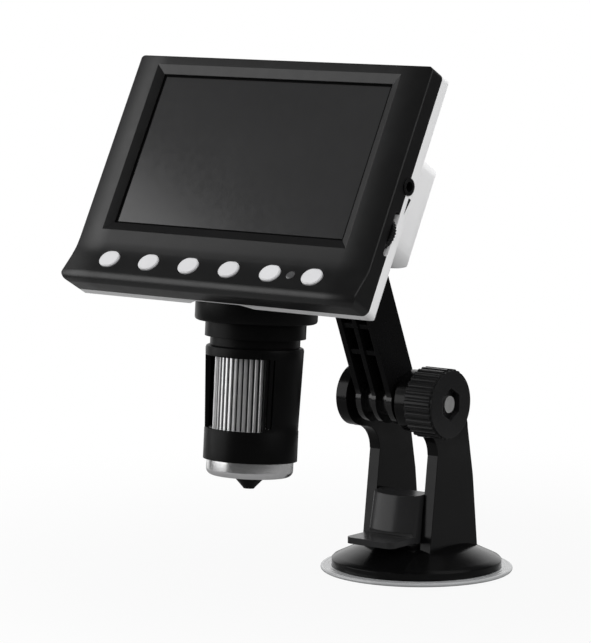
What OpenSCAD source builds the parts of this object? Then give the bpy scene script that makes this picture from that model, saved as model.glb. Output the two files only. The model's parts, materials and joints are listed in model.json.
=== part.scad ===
// Handheld-size LCD digital microscope on a suction stand.
// The origin is the centre of the suction pad's underside, +Z is up, +X runs along the clamp bolt
// towards the knob, and the display faces -Y. All sizes are in millimetres and degrees.

/* [Display head] */
// Room beside the LCD module, out to the casing's side
side_room = 10.65; // [10:0.05:12]
// Distance from the screen opening up to the top edge of the casing
top_frame = 6.5; // [6:0.1:8]
// Distance from the screen opening down to the bottom edge of the casing
chin_frame = 23.4; // [22:0.1:26]
// Radius of the casing's four corners
head_corner = 2.4; // [2:0.1:4]
// Depth of the front casing's side wall
front_depth = 6.25; // [6:0.05:7]
// Depth of the rear casing's side wall
rear_depth = 5.2; // [4.6:0.1:6]
// Wall of both casings
casing_wall = 2; // [1.8:0.1:2.2]
// Fillet along the front casing's outer edge
front_fillet = 0.6; // [0.4:0.1:1.2]
// Fillet along the rear casing's outer edge
rear_fillet = 2; // [1:0.1:2.5]
// How far the head leans back from upright at rest
head_tilt = 28.5; // [20:0.5:35]

/* [Screen] */
// Width of the LCD module
lcd_w = 103; // [95:0.1:106]
// Height of the LCD module
lcd_h = 66; // [60:0.1:68]
// Border of the LCD module beside the screen opening
lcd_side = 2.9; // [2:0.1:4]
// Border of the LCD module above the screen opening
lcd_over = 3.4; // [2:0.1:4]
// Border of the LCD module below the screen opening
lcd_under = 6.4; // [4:0.1:8]
// Sideways offset of the screen from the casing's middle
screen_x = -1.65; // [-2:0.05:0]
// Height of the screen's middle above the screen datum
screen_y = 0.6; // [0:0.1:1]
// Width of the sloping bevel round the screen
bevel_w = 3.1; // [2:0.1:3.2]
// Upright lip between the bevel and the glass
bevel_lip = 0.7; // [0.3:0.1:1]
// Radius of the bevel's outer corners
bevel_corner = 3.3; // [3.3:0.1:4]
// Thickness of the screen's cover glass
glass_t = 0.8; // [0.5:0.1:1]
// Thickness of the LCD module
lcd_t = 2.9; // [2:0.1:3]

/* [Chin and buttons] */
// Height of the chin's upper edge above the casing's bottom edge
chin_h = 16; // [15:0.1:18]
// Radius of the hollow curve that leads from the face into the chin
chin_sweep = 20; // [12:1:24]
// Forward slope of the chin
chin_angle = 17.8; // [12:0.2:20]
// Radius of the chin's rounded nose
chin_nose = 3; // [2.5:0.1:3.5]
// Height of the button row above the casing's bottom edge
button_up_h = 9; // [8.5:0.1:10]
// Distance of the first button's centre from the casing's left side
button_left = 17.65; // [16:0.05:19]
// Distance of the last button's centre from the casing's right side
button_right = 20.6; // [19:0.05:22]
// Width of each oval button
button_wide = 7.8; // [7.2:0.1:8.6]
// Height of each oval button
button_d = 6.5; // [6:0.1:7]
// Height of each button above the chin
button_proud = 0.5; // [0.4:0.1:1.2]
// Travel of each button
button_travel = 0.3; // [0.2:0.05:0.5]
// Clearance round each button
button_gap = 0.3; // [0.2:0.05:0.4]
// Distance of the indicator light from the casing's right side
indicator_in = 29.45; // [28:0.05:30]
// Diameter of the indicator light
indicator_d = 3.2; // [2.6:0.1:3.6]

/* [Side controls] */
// Distance of the light dimmer's axis below the screen datum
dimmer_y = 22.4; // [20:0.1:25]
// Diameter of the dimmer wheel
dimmer_d = 13; // [12:0.1:13.4]
// Thickness of the dimmer wheel
dimmer_t = 1.9; // [1.5:0.1:2]
// How far the dimmer wheel stands out of the casing
dimmer_proud = 1; // [0.6:0.1:1.2]
// Length of the slot for the dimmer wheel
dimmer_slot = 15.6; // [14:0.1:17]
// Distance of the power jack below the screen datum
jack_y = 5.2; // [4:0.1:7]
// Outer diameter of the power jack's collar
jack_d = 5.7; // [5:0.1:6]
// Bore of the power jack
jack_bore = 3.5; // [3:0.1:3.8]
// How far the power jack stands out of the casing
jack_proud = 0.4; // [0.2:0.1:2]

/* [Rear hump] */
// Width of the rear hump
hump_w = 88; // [80:0.5:90]
// Distance of the hump's top above the screen datum
hump_top = 19.4; // [17:0.1:20]
// Distance of the hump's underside below the screen datum
hump_bottom = 20.5; // [19:0.1:24]
// Distance of the hump's back face behind the screen face
hump_back = 46.9; // [46:0.1:48]
// Rounding of the hump's edges
hump_round = 7.5; // [5:0.5:8]
// Diameter of the battery cell
cell_d = 18.2; // [17:0.1:18.6]
// Length of the battery cell
cell_l = 65.5; // [60:0.5:67]

/* [Microscope barrel] */
// Angle between the barrel and the display
barrel_angle = 24.65; // [22:0.05:26]
// Height of the barrel's seat above the casing's bottom edge
barrel_up = 8.8; // [8:0.1:9.2]
// Distance of the barrel's seat behind the screen face
barrel_z = 26.2; // [26:0.1:27]
// Radius of the white turret that carries the barrel
turret_r = 22.5; // [22.2:0.1:23]
// Radius of the collar
collar_r = 20.7; // [20:0.1:22]
// Height of the collar
collar_h = 6.7; // [6:0.1:8]
// Radius of the ring below the collar
ring_r = 17.05; // [16:0.05:17.5]
// Height of the ring below the collar
ring_h = 5.2; // [4.4:0.1:5.6]
// Radius of the groove between ring and sleeve
groove_r = 15.2; // [15:0.1:15.6]
// Height of the groove between ring and sleeve
groove_h = 3; // [2.6:0.1:3.6]
// Radius of the sleeve at its top
sleeve_top_r = 16.6; // [16.4:0.1:17]
// Radius of the sleeve's lower band
sleeve_band_r = 15.9; // [15.8:0.05:16.3]
// Height of the sleeve's lower band
sleeve_band_h = 10.4; // [9:0.1:11]
// Length of the sleeve
sleeve_h = 38.3; // [37:0.1:40]
// Inner radius of the sleeve
sleeve_in_r = 14.6; // [14.5:0.05:14.7]
// Half angle of each window in the sleeve
window_half = 52; // [40:1:54]
// Height of the windows in the sleeve
window_h = 24.4; // [20:0.1:25]
// Outer radius of the focus wheel
focus_r = 13.2; // [13:0.1:13.6]
// Ribs round the focus wheel
focus_ribs = 45; // [36:1:64]
// Depth of the ribs on the focus wheel
rib_depth = 0.6; // [0.3:0.05:0.8]
// Outer radius of the sliding lens tube
tube_r = 9.5; // [9:0.1:10]
// Travel of the lens tube each way from its middle
focus_travel = 4; // [2:0.5:4.5]
// Radius of the metal end ring
end_ring_r = 14.7; // [14:0.1:15]
// Height of the metal end ring
end_ring_h = 5.5; // [5:0.1:6.5]
// Radius of the nose where it leaves the diffuser
nose_r = 6; // [5:0.1:6.4]
// Radius of the nose at its tip
nose_tip_r = 1.8; // [1.7:0.1:2.4]
// Length of the nose below the end ring
nose_h = 4.4; // [3.5:0.1:5]

/* [Arm] */
// Distance between the arm's two pivots
arm_l = 69; // [68:0.5:72]
// How far the arm leans forward at rest
arm_lean = 23.4; // [18:0.2:26]
// Width of the arm
arm_w = 15.6; // [15:0.1:16.4]
// Depth of the arm
arm_d = 15; // [14:0.1:15.2]
// Thickness of the arm's side walls
arm_wall = 2.2; // [2:0.1:2.4]
// Thickness of the arm's back
arm_back = 2.2; // [1.8:0.1:2.6]
// Thickness of the arm's middle rib and cross ribs
arm_rib = 1.8; // [1.4:0.1:2]
// Distance between the arm's cross ribs
rib_pitch = 10.5; // [9:0.5:12]
// Radius of the arm's lower end
arm_end_r = 9; // [8:0.1:9.5]
// Radius of the arm's bosses against the stand's ears
arm_boss_r = 6.5; // [6:0.1:7]
// Distance of the upper pivot behind the screen face
pivot_back = 57.8; // [57.5:0.1:59]
// Height of the upper pivot above the screen datum
pivot_up = 0.2; // [0:0.1:1]
// Radius of the upper pivot's screw
pivot_r = 2; // [1.5:0.1:2.5]

/* [Suction stand] */
// Height of the clamp bolt above the surface
hinge_z = 64.5; // [63:0.5:68]
// Distance of the clamp bolt in front of the stand's centre
hinge_y = 18; // [16:0.5:20]
// Radius of the stand's ears
ear_r = 11; // [10.5:0.1:12]
// Distance between the stand's two cheeks
fork_gap = 21; // [20.6:0.1:22]
// Thickness of each cheek
cheek_t = 4.5; // [4.5:0.1:5]
// Radius of the concave sweep below the ears
sweep_r = 9.4; // [9:0.1:10]
// Radius of the black flange
flange_r = 30.7; // [30:0.1:32]
// Height of the flange's wall
flange_h = 2.8; // [2.4:0.1:3.2]
// Height of the stand's floor above the surface
floor_z = 10; // [9.8:0.1:10.5]
// Radius of the suction pad
pad_r = 34.7; // [33:0.1:36]
// Thickness of the suction pad's edge
pad_edge = 1.4; // [1.2:0.1:1.6]
// Height that the plunger lifts the pad's middle
pad_lift = 3; // [2:0.1:3]

/* [Clamp] */
// Radius of the clamp bolt
bolt_r = 3; // [2.5:0.1:3]
// Width across the flats of the bolt's head and the nut
hex_flats = 10; // [9:0.1:10]
// Radius of the clamp knob
knob_r = 12.5; // [12:0.1:13.5]
// Length of the clamp knob
knob_l = 11.5; // [11:0.1:13]
// Flutes round the clamp knob
knob_flutes = 32; // [24:1:36]

/* [Lock lever] */
// Height of the lever's pin above the surface
pin_z = 17.2; // [17:0.1:17.4]
// Radius of the lever's pin
pin_r = 1.5; // [1.2:0.1:1.6]
// Swing of the lever from locked to free
lever_swing = 80; // [60:5:85]
// Width of the lever
lever_w = 20.4; // [20:0.1:20.4]
// Wall of the lever
lever_wall = 2.2; // [1.8:0.1:2.4]
// Height of the lever's top edge above the surface
lever_top = 29; // [28:0.1:32]
// Radius of the lever's rounded front
lever_round = 20; // [18:1:30]
// How far the lever's front stands before its pin
lever_front = 18.4; // [17:0.1:19]
// Backward lean of the lever's front
front_lean = 12; // [8:0.5:14]
// Length of the lever's thumb tab
tab_l = 16.6; // [12:0.1:18]

/* [Clearances] */
// Running clearance of pins and shafts, on the radius
run_gap = 0.05; // [0.03:0.01:0.08]
// Clearance between moving faces
face_gap = 0.3; // [0.2:0.05:0.35]

/* [Hidden] */
$fn = 64;
eps = 0.01;
big = 400;

// The screen opening, from the LCD module and its borders
screen_w = lcd_w - 2 * lcd_side;
screen_h = lcd_h - lcd_over - lcd_under;
lcd_y = screen_y + (lcd_over - lcd_under) / 2;

// The casing, from the screen opening and the frame round it, measured from the screen datum
head_w = lcd_w + 2 * side_room;
head_top = screen_y + screen_h / 2 + top_frame;
head_bottom = screen_h / 2 - screen_y + chin_frame;
head_h = head_top + head_bottom;
head_mid = (head_top - head_bottom) / 2;
back_w = -front_depth - rear_depth;

// Screen stack, from the glass seat backwards
glass_seat = -casing_wall;
lcd_front = glass_seat - glass_t - 0.1;
lcd_back = lcd_front - lcd_t;
board_front = lcd_back - 0.7;
board_t = 1.2;
board_back = board_front - board_t;
board_post_x = hump_w / 2 + 3.2;
board_low = -head_bottom + 25.9;
board_high = head_top - 14.2;

// The chin: a hollow curve from the face, a flat slope that holds the buttons, and a round nose
button_count = 6;
chin_start = head_bottom - chin_h;
chin_foot = chin_start + chin_sweep * tan(chin_angle / 2);
button_row = head_bottom - button_up_h;
button_w = (button_row - chin_foot) * tan(chin_angle);
nose_y = -head_bottom + chin_nose;
nose_z = ((-nose_y - chin_foot) * sin(chin_angle) - chin_nose) / cos(chin_angle);
button_first = -head_w / 2 + button_left;
button_pitch = (head_w - button_left - button_right) / (button_count - 1);
indicator_x = head_w / 2 - indicator_in;

// Barrel heights below its seat on the turret
barrel_y = head_bottom - barrel_up;
collar_bore = sleeve_in_r - 3.1;
sensor_r = collar_bore + 1.5;
diffuser_r = end_ring_r - 3.2;
ring_top = -collar_h;
groove_top = ring_top - ring_h;
sleeve_top = groove_top - groove_h;
sleeve_bottom = sleeve_top - sleeve_h;
window_top = sleeve_top - 3.4;
window_bottom = window_top - window_h;
end_ring_bottom = sleeve_bottom - end_ring_h;
nose_tip = end_ring_bottom - nose_h;
focus_top = window_top + 0.6;
focus_bottom = window_bottom - 0.6;
spigot_r = sleeve_in_r - run_gap;
focus_bore = tube_r + 0.3;

// Places of the case screws
screw_x = head_w / 2 - 5.4;
screw_top_y = head_top - 5.7;
screw_low_y = -head_bottom + 10.9;
screw_r = 1.2;
screw_head_r = 2.3;
screw_head_t = 1.6;

// The stand's cheeks
cheek_in = fork_gap / 2;
cheek_out = cheek_in + cheek_t;
ear_c = [-hinge_y, hinge_z];
shoulder_c = [2, 52];
shoulder_r = 8;
washer_t = 0.6;
knob_in = cheek_out + washer_t;
knob_out = knob_in + knob_l;
nut_t = 5;
bolt_end = knob_out - 0.6;
head_sink = 2.5;

// The suction foot
flange_z = pad_edge + 0.05;
plunger_r = 11;
stem_r = 3.6;
pad_top = pad_edge + 4.2;
plunger_z = pad_top + 0.05;
plunger_t = 1.3;
roof_z = plunger_z + plunger_t + 0.3;
cam_r = pin_z - floor_z - face_gap;

// The upper pivot in the head's frame, and the head's place in the world
arm_top = [0, -hinge_y - arm_l * sin(arm_lean), hinge_z + arm_l * cos(arm_lean)];
head_at = arm_top - [0,
    pivot_up * sin(head_tilt) + pivot_back * cos(head_tilt),
    pivot_up * cos(head_tilt) - pivot_back * sin(head_tilt)];
fork_in = arm_w / 2 - arm_wall;
tongue_w = 2 * (fork_in - face_gap);
bracket_t = 1.8;
bracket_screw_x = 14;

// ---------- frames ----------
// The head's frame: x to the right, y up the display, z out of the screen
module in_head() { translate(head_at) rotate([90 - head_tilt, 0, 0]) children(); }

// The barrel's frame: z up the barrel, from its seat on the turret
module in_barrel_local() { translate([0, -barrel_y, -barrel_z]) rotate([barrel_angle - 90, 0, 0]) children(); }

module in_barrel() { in_head() in_barrel_local() children(); }

// The arm's frame: z up the arm from the clamp bolt, y towards its closed back
module in_arm() { translate([0, -hinge_y, hinge_z]) rotate([arm_lean, 0, 0]) children(); }

// The chin's frame: z out of the sloping chin at the button row
module in_chin() { translate([0, -button_row, button_w]) rotate([-chin_angle, 0, 0]) children(); }

// ---------- helpers ----------
module rounded_rect(w, h, r) {
    square([w - 2 * r, h], center = true);
    square([w, h - 2 * r], center = true);
    for (sx = [-1, 1], sy = [-1, 1])
        translate([sx * (w / 2 - r), sy * (h / 2 - r)]) circle(r);
}

// A cylinder along X from x0 to x1
module x_rod(x0, x1, r) { translate([x0, 0, 0]) rotate([0, 90, 0]) cylinder(h = x1 - x0, r = r); }

// A profile drawn in Y and Z, extruded along X from x0 to x1
module x_plate(x0, x1) {
    translate([x0, 0, 0]) rotate([90, 0, 90]) linear_extrude(x1 - x0) children();
}

// A profile drawn in X and Z, extruded along Y from y0 to y1
module y_plate(y0, y1) {
    translate([0, y1, 0]) rotate([90, 0, 0]) linear_extrude(y1 - y0) children();
}

// A hexagonal prism along X
module x_hex(x0, x1, flats) {
    translate([x0, 0, 0]) rotate([0, 90, 0]) cylinder(h = x1 - x0, r = flats / 2 / cos(30), $fn = 6);
}

// A slab of the casing's outline between two depths, shrunk by inset
module casing_outline(z0, z1, inset) {
    translate([0, head_mid, z0]) linear_extrude(z1 - z0)
        rounded_rect(head_w - 2 * inset, head_h - 2 * inset, head_corner - inset / 2);
}

// ---------- display head ----------
// The front casing's outer form: a flat face and a chin that slopes forward to a round nose
module front_outer() {
    intersection() {
        casing_outline(-front_depth, 0, 0);
        y_plate(-head_bottom, head_top) translate([0, -front_depth])
            rounded_rect(head_w, 2 * front_depth, front_fillet);
        x_plate(-head_w, head_w) translate([head_mid, -front_depth])
            rounded_rect(head_h, 2 * front_depth, front_fillet);
    }
    intersection() {
        casing_outline(-front_depth, 6, 0);
        x_plate(-head_w, head_w) {
            translate([nose_y, nose_z]) circle(chin_nose);
            chin_section();
        }
        in_chin() y_plate(-head_h, head_h) translate([0, -2 * front_depth])
            rounded_rect(head_w, 4 * front_depth, front_fillet);
    }
    // The hollow curve between the face and the slope
    x_plate(-head_w / 2 + front_fillet / 2, head_w / 2 - front_fillet / 2) difference() {
        polygon([
            [-chin_start, -1], [-chin_start, 0],
            [-chin_start, 0] - chin_sweep * [sin(chin_angle), cos(chin_angle) - 1],
            [-chin_start - chin_sweep * sin(chin_angle), -1]
        ]);
        translate([-chin_start, chin_sweep]) circle(chin_sweep, $fn = 256);
    }
}

// The slope and the underside of the chin, without its round nose
module chin_section() {
    polygon([
        [-chin_foot, 0],
        [nose_y + chin_nose * sin(chin_angle), nose_z + chin_nose * cos(chin_angle)],
        [nose_y, nose_z], [-head_bottom, nose_z],
        [-head_bottom, -front_depth], [-chin_foot, -front_depth]
    ]);
}

// The cavity behind the front casing's face
module front_inner() {
    casing_outline(-front_depth - 1, -casing_wall, casing_wall);
    intersection() {
        casing_outline(-front_depth - 1, 6, casing_wall);
        x_plate(-head_w, head_w) translate([0, -casing_wall]) chin_section();
    }
}

// Cross-section of the bevel over an opening of width w: it is bevel_w wider at the face on each side
module bevel_section(w) {
    deep = casing_wall - bevel_lip;
    run = bevel_w / deep;
    polygon([
        [-w / 2, -deep], [w / 2, -deep],
        [w / 2 + bevel_w + run, 1], [-w / 2 - bevel_w - run, 1]
    ]);
}

// The bevelled recess in front of the glass: sloping sides, conical corners and an upright lip
module screen_recess() {
    deep = casing_wall - bevel_lip;
    reach_x = screen_w / 2 + 3 * bevel_w;
    reach_y = screen_h / 2 + 3 * bevel_w;
    translate([screen_x, screen_y, 0]) {
        intersection() {
            y_plate(-reach_y, reach_y) bevel_section(screen_w);
            x_plate(-reach_x, reach_x) bevel_section(screen_h);
        }
        translate([-screen_w / 2, -screen_h / 2, -casing_wall - 1])
            cube([screen_w, screen_h, bevel_lip + 1 + eps]);
    }
}

module each_screw() {
    for (x = [-screw_x, screw_x], y = [screw_top_y, screw_low_y]) translate([x, y, 0]) children();
}

module each_button() {
    for (i = [0 : button_count - 1]) in_chin() translate([button_first + i * button_pitch, 0, 0]) children();
}

// The oval outline of a button, wider all round by extra
module button_plan(extra) {
    square([button_wide - button_d, button_d + 2 * extra], center = true);
    for (sx = [-1, 1]) translate([sx * (button_wide - button_d) / 2, 0]) circle(button_d / 2 + extra);
}

module dimmer_place() {
    translate([head_w / 2 + dimmer_proud - dimmer_d / 2, -dimmer_y, -front_depth + 0.1]) children();
}

module jack_place() { translate([head_w / 2, -jack_y, -front_depth]) rotate([0, 90, 0]) children(); }

module front_casing() {
    color([0.09, 0.09, 0.1]) in_head() {
        difference() {
            front_outer();
            front_inner();
            screen_recess();
            each_button() translate([0, 0, -8]) linear_extrude(12) button_plan(button_gap);
            in_chin() translate([indicator_x, 0, -8]) cylinder(h = 12, r = indicator_d / 2 + run_gap);
            dimmer_slot_cut();
            jack_place() translate([0, 0, -6]) cylinder(h = 10, r = jack_d / 2 + run_gap);
        }
        difference() {
            each_screw() translate([0, 0, -front_depth]) cylinder(h = front_depth - casing_wall + 0.2, r = 2.9);
            each_screw() translate([0, 0, -front_depth - 1]) cylinder(h = front_depth, r = screw_r);
        }
        // Posts that carry the key board
        in_chin() for (i = [0.5, 2.5]) translate([button_first + i * button_pitch, 0, -button_floor()])
            cylinder(h = button_floor() - casing_wall + 0.2, r = 1.8);
    }
}

// The slot for the dimmer wheel, with round ends, across the parting line
module dimmer_slot_cut() {
    slot_h = dimmer_t + 0.8;
    x0 = head_w / 2 - 6;
    for (y = [-1, 1]) translate([0, -dimmer_y + y * (dimmer_slot - slot_h) / 2, slot_mid()])
        x_rod(x0, x0 + 10, slot_h / 2);
    translate([x0, -dimmer_y - (dimmer_slot - slot_h) / 2, slot_mid() - slot_h / 2])
        cube([10, dimmer_slot - slot_h, slot_h]);
}

function slot_mid() = -front_depth + 0.1 + dimmer_t / 2;

// The rear casing's outer form: slab, hump and turret
module rear_outer(wall) {
    intersection() {
        casing_outline(back_w + wall, -front_depth + (wall > 0 ? 1 : 0), wall);
        y_plate(-head_bottom, head_top) translate([0, back_w + wall + head_h])
            rounded_rect(head_w - 2 * wall, 2 * head_h, rear_fillet);
        x_plate(-head_w, head_w) translate([head_mid, back_w + wall + head_h])
            rounded_rect(head_h - 2 * wall, 2 * head_h, rear_fillet);
    }
    hump_h = hump_top + hump_bottom;
    hump_mid = (hump_top - hump_bottom) / 2;
    hump_deep = hump_back + back_w;
    intersection() {
        translate([0, hump_mid, -hump_back + wall]) linear_extrude(hump_deep + 2)
            rounded_rect(hump_w - 2 * wall, hump_h - 2 * wall, hump_round + 1);
        y_plate(-hump_bottom, hump_top) translate([0, wall])
            rounded_rect(hump_w - 2 * wall, 2 * hump_back, hump_round);
        x_plate(-hump_w, hump_w) translate([hump_mid, wall])
            rounded_rect(hump_h - 2 * wall, 2 * hump_back, hump_round);
    }
    intersection() {
        in_barrel_local() translate([0, 0, wall]) cylinder(h = 24, r = turret_r - wall);
        translate([-turret_r, -head_bottom + wall, -hump_back - 2])
            cube([2 * turret_r, head_bottom, hump_back + 2 - front_depth]);
    }
}

module rear_casing() {
    cell_y = (hump_top - hump_bottom) / 2;
    color([0.93, 0.93, 0.93]) in_head() {
        difference() {
            rear_outer(0);
            rear_outer(casing_wall);
            in_barrel_local() {
                translate([0, 0, -20]) cylinder(h = 20, r = turret_r + 0.5);
                translate([0, 0, -1]) cylinder(h = 4, r = sensor_r);
            }
            dimmer_slot_cut();
            each_screw() {
                translate([0, 0, back_w - 1]) cylinder(h = 20, r = screw_r + 0.2);
                translate([0, 0, back_w - 1]) cylinder(h = 1 + screw_head_t, r = screw_head_r + 0.2);
            }
            jack_place() translate([0, 0, -6]) cylinder(h = 10, r = jack_d / 2 + run_gap);
            translate([0, pivot_up, -hump_back - 1]) bracket_holes(8);
        }
        // Screw pillars from the back face to the parting line
        difference() {
            each_screw() translate([0, 0, back_w + 0.5]) cylinder(h = rear_depth - 0.5, r = 2.9);
            each_screw() {
                translate([0, 0, back_w - 1]) cylinder(h = 20, r = screw_r + 0.2);
                translate([0, 0, back_w - 1]) cylinder(h = 1 + screw_head_t, r = screw_head_r + 0.2);
            }
        }
        // Two saddles that carry the battery cell
        difference() {
            for (x = [-26, 26]) translate([x - 1, cell_y - 8, -hump_back + 1.5]) cube([2, 16, 14]);
            translate([0, cell_y, cell_z()]) x_rod(-hump_w / 2, hump_w / 2, cell_d / 2 + run_gap);
        }
        // Four posts that carry the main board
        for (x = [-1, 1], y = [board_low, board_high])
            translate([x * board_post_x, y, back_w + casing_wall - 0.2])
                cylinder(h = board_back - back_w - casing_wall + 0.2, r = 2);
    }
}

function cell_z() = -hump_back + casing_wall + 3.4 + cell_d / 2;

module screen_glass() {
    color([0.12, 0.13, 0.15]) in_head()
        translate([screen_x - screen_w / 2 - 1.8, screen_y - screen_h / 2 - 1.8, glass_seat - glass_t])
            cube([screen_w + 3.6, screen_h + 3.6, glass_t]);
}

module lcd_panel() {
    color([0.45, 0.46, 0.48]) in_head() translate([screen_x, screen_y, lcd_back]) {
        difference() {
            translate([-lcd_w / 2, lcd_y - screen_y - lcd_h / 2, 0]) cube([lcd_w, lcd_h, lcd_t]);
            translate([-screen_w / 2 + 0.5, -screen_h / 2 + 0.5, lcd_t - 0.3])
                cube([screen_w - 1, screen_h - 1, 1]);
        }
    }
}

module main_board() {
    narrow = 2 * screw_x - 7;
    wide = head_w - 2 * casing_wall - 1;
    board_half = lcd_h / 2 - 2;
    color([0.1, 0.35, 0.18]) in_head() difference() {
        union() {
            translate([-narrow / 2, lcd_y - board_half, board_back]) cube([narrow, 2 * board_half, board_t]);
            translate([-wide / 2, screw_low_y + 10, board_back])
                cube([wide, screw_top_y - screw_low_y - 14.5, board_t]);
            // Stand-offs that carry the LCD module
            for (sx = [-1, 1], sy = [-1, 1])
                translate([screen_x + sx * (lcd_w / 2 - 7), lcd_y + sy * (board_half - 4.5), board_front - eps])
                    cylinder(h = lcd_back - board_front + eps, r = 2);
            // Dimmer potentiometer's shaft and the shoulder under its wheel
            dimmer_place() translate([0, 0, board_front + front_depth - 0.1 - eps]) {
                cylinder(h = dimmer_t - board_front - front_depth + 0.1, r = 1);
                cylinder(h = -board_front - front_depth + 0.1, r = 2.2);
            }
            // Image processor, memory and charger
            translate([-12, -8, board_back - 1.4]) cube([14, 14, 1.4 + eps]);
            translate([12, -6, board_back - 1.1]) cube([10, 6, 1.1 + eps]);
            translate([-34, 2, board_back - 1.6]) cube([8, 8, 1.6 + eps]);
        }
        translate([head_w / 2 - 13.5, -jack_y - 3.2, board_back - 4]) cube([20, 6.4, 8]);
    }
}

module key_board() {
    color([0.1, 0.35, 0.18]) in_head() {
        in_chin() translate([button_first - 6, -3.4, -button_floor() - 1])
            cube([(button_count - 1) * button_pitch + 12, 6.8, 1]);
        each_button() translate([0, 0, -button_floor() - eps])
            cylinder(h = 1.2 + eps, r = 1.5);
    }
}

// Depth of the key board's face below the chin
function button_floor() = casing_wall + 0.9 + button_travel + 0.2 + 1.2;

// One push button: oval cap and the skirt that keeps it in
module push_button(i) {
    skirt_top = -casing_wall - 0.15;
    rim = button_proud - 0.15;
    color([0.8, 0.81, 0.82]) in_head() in_chin() translate([button_first + i * button_pitch, 0, 0]) {
        translate([0, 0, skirt_top - 0.75]) linear_extrude(0.75) button_plan(0.7);
        translate([0, 0, skirt_top - eps]) linear_extrude(rim - skirt_top + eps) button_plan(0);
        translate([0, 0, rim - eps]) linear_extrude(0.15 + eps) button_plan(-0.3);
    }
}

module button_power() { push_button(0); }
module button_menu() { push_button(1); }
module button_up() { push_button(2); }
module button_ok() { push_button(3); }
module button_down() { push_button(4); }
module button_snap() { push_button(5); }

module battery_cell() {
    color([0.2, 0.35, 0.6]) in_head()
        translate([0, (hump_top - hump_bottom) / 2, cell_z()]) {
            x_rod(-cell_l / 2, cell_l / 2, cell_d / 2);
            x_rod(cell_l / 2 - eps, cell_l / 2 + 1, 3);
        }
}

module case_screws() {
    color([0.6, 0.6, 0.62]) in_head() each_screw() {
        translate([0, 0, back_w + 0.4]) cylinder(h = rear_depth + front_depth - casing_wall - 2.4, r = screw_r);
        difference() {
            translate([0, 0, back_w + 0.2]) cylinder(h = screw_head_t - 0.2, r = screw_head_r);
            for (a = [0, 90]) rotate([0, 0, a]) translate([-1.4, -0.3, back_w - 1]) cube([2.8, 0.6, 1.9]);
        }
    }
}

module power_jack() {
    color([0.07, 0.07, 0.08]) in_head() jack_place() difference() {
        union() {
            translate([0, 0, -8]) cylinder(h = 8 + jack_proud, r = jack_d / 2);
            translate([-2.8, -2.8, -11.5]) cube([5.6, 5.6, 7]);
        }
        translate([0, 0, -8]) cylinder(h = 12, r = jack_bore / 2);
    }
}

module indicator_light() {
    color([0.75, 0.75, 0.78]) in_head() in_chin() translate([indicator_x, 0, 0])
        rotate_extrude() polygon([
            [0, -button_floor()], [indicator_d / 2, -button_floor()], [indicator_d / 2, 0.05],
            [indicator_d / 2 - 0.4, 0.3], [0, 0.4]
        ]);
}

module dimmer_wheel() {
    teeth = 36;
    color([0.08, 0.08, 0.09]) in_head() dimmer_place() linear_extrude(dimmer_t) difference() {
        circle(dimmer_d / 2);
        circle(1 + run_gap);
        for (i = [0 : teeth - 1])
            rotate(i * 360 / teeth) translate([dimmer_d / 2 + 0.15, 0]) circle(0.42, $fn = 16);
    }
}

// ---------- barrel ----------
module barrel_collar() {
    color([0.08, 0.08, 0.09]) in_barrel() difference() {
        union() {
            rotate_extrude() polygon([
                [0, ring_top], [collar_r - 0.9, ring_top], [collar_r - 0.3, ring_top + 0.3],
                [collar_r, ring_top + 0.9], [collar_r, 0], [0, 0]
            ]);
            translate([0, 0, groove_top]) cylinder(h = ring_h + eps, r = ring_r);
            translate([0, 0, groove_top - groove_h]) cylinder(h = groove_h + eps, r = groove_r);
            translate([0, 0, focus_top + face_gap]) cylinder(h = sleeve_top - focus_top, r = spigot_r);
        }
        translate([0, 0, -60]) cylinder(h = 70, r = collar_bore);
        translate([0, 0, -2.6]) cylinder(h = 10, r = sensor_r);
    }
}

// One window through the sleeve, between two angles from the front
module window_cut(front) {
    intersection() {
        translate([0, 0, window_bottom]) cylinder(h = window_h, r = 2 * sleeve_top_r);
        rotate([0, 0, front ? 0 : 180]) translate([0, 0, window_bottom - 1])
            linear_extrude(window_h + 2) polygon([
                [0, 0],
                for (k = [-1, -0.5, 0, 0.5, 1])
                    4 * sleeve_top_r * [sin(k * window_half), -cos(k * window_half)]
            ]);
    }
}

module barrel_sleeve() {
    finger_w = 0.9;
    slit = 0.5;
    finger_angle = window_half + 7;
    finger_low = window_bottom + 2.1;
    color([0.09, 0.09, 0.1]) in_barrel() difference() {
        union() {
            rotate_extrude() polygon([
                [sleeve_in_r, sleeve_top], [sleeve_top_r - 0.8, sleeve_top],
                [sleeve_top_r - 0.25, sleeve_top - 0.3], [sleeve_top_r, sleeve_top - 1],
                [sleeve_band_r - 0.15, sleeve_bottom + sleeve_band_h],
                [sleeve_band_r, sleeve_bottom + sleeve_band_h - 0.3],
                [sleeve_band_r, sleeve_bottom], [sleeve_in_r - 1.4, sleeve_bottom],
                [sleeve_in_r - 1.4, focus_bottom - face_gap], [sleeve_in_r, focus_bottom - face_gap]
            ]);
        }
        window_cut(true);
        window_cut(false);
        // A U-shaped slit round the snap finger beside each window
        for (side = [0, 180])
            rotate([0, 0, side + finger_angle - 90]) translate([sleeve_in_r - 1, 0, finger_low]) {
            for (dy = [-1, 1])
                translate([0, dy * finger_w - slit / 2, 0]) cube([4, slit, window_top - finger_low]);
            rotate([90, 0, 90]) linear_extrude(4) difference() {
                circle(finger_w + slit / 2);
                circle(finger_w - slit / 2);
                translate([-3, 0]) square([6, 3]);
            }
        }
    }
}

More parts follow.
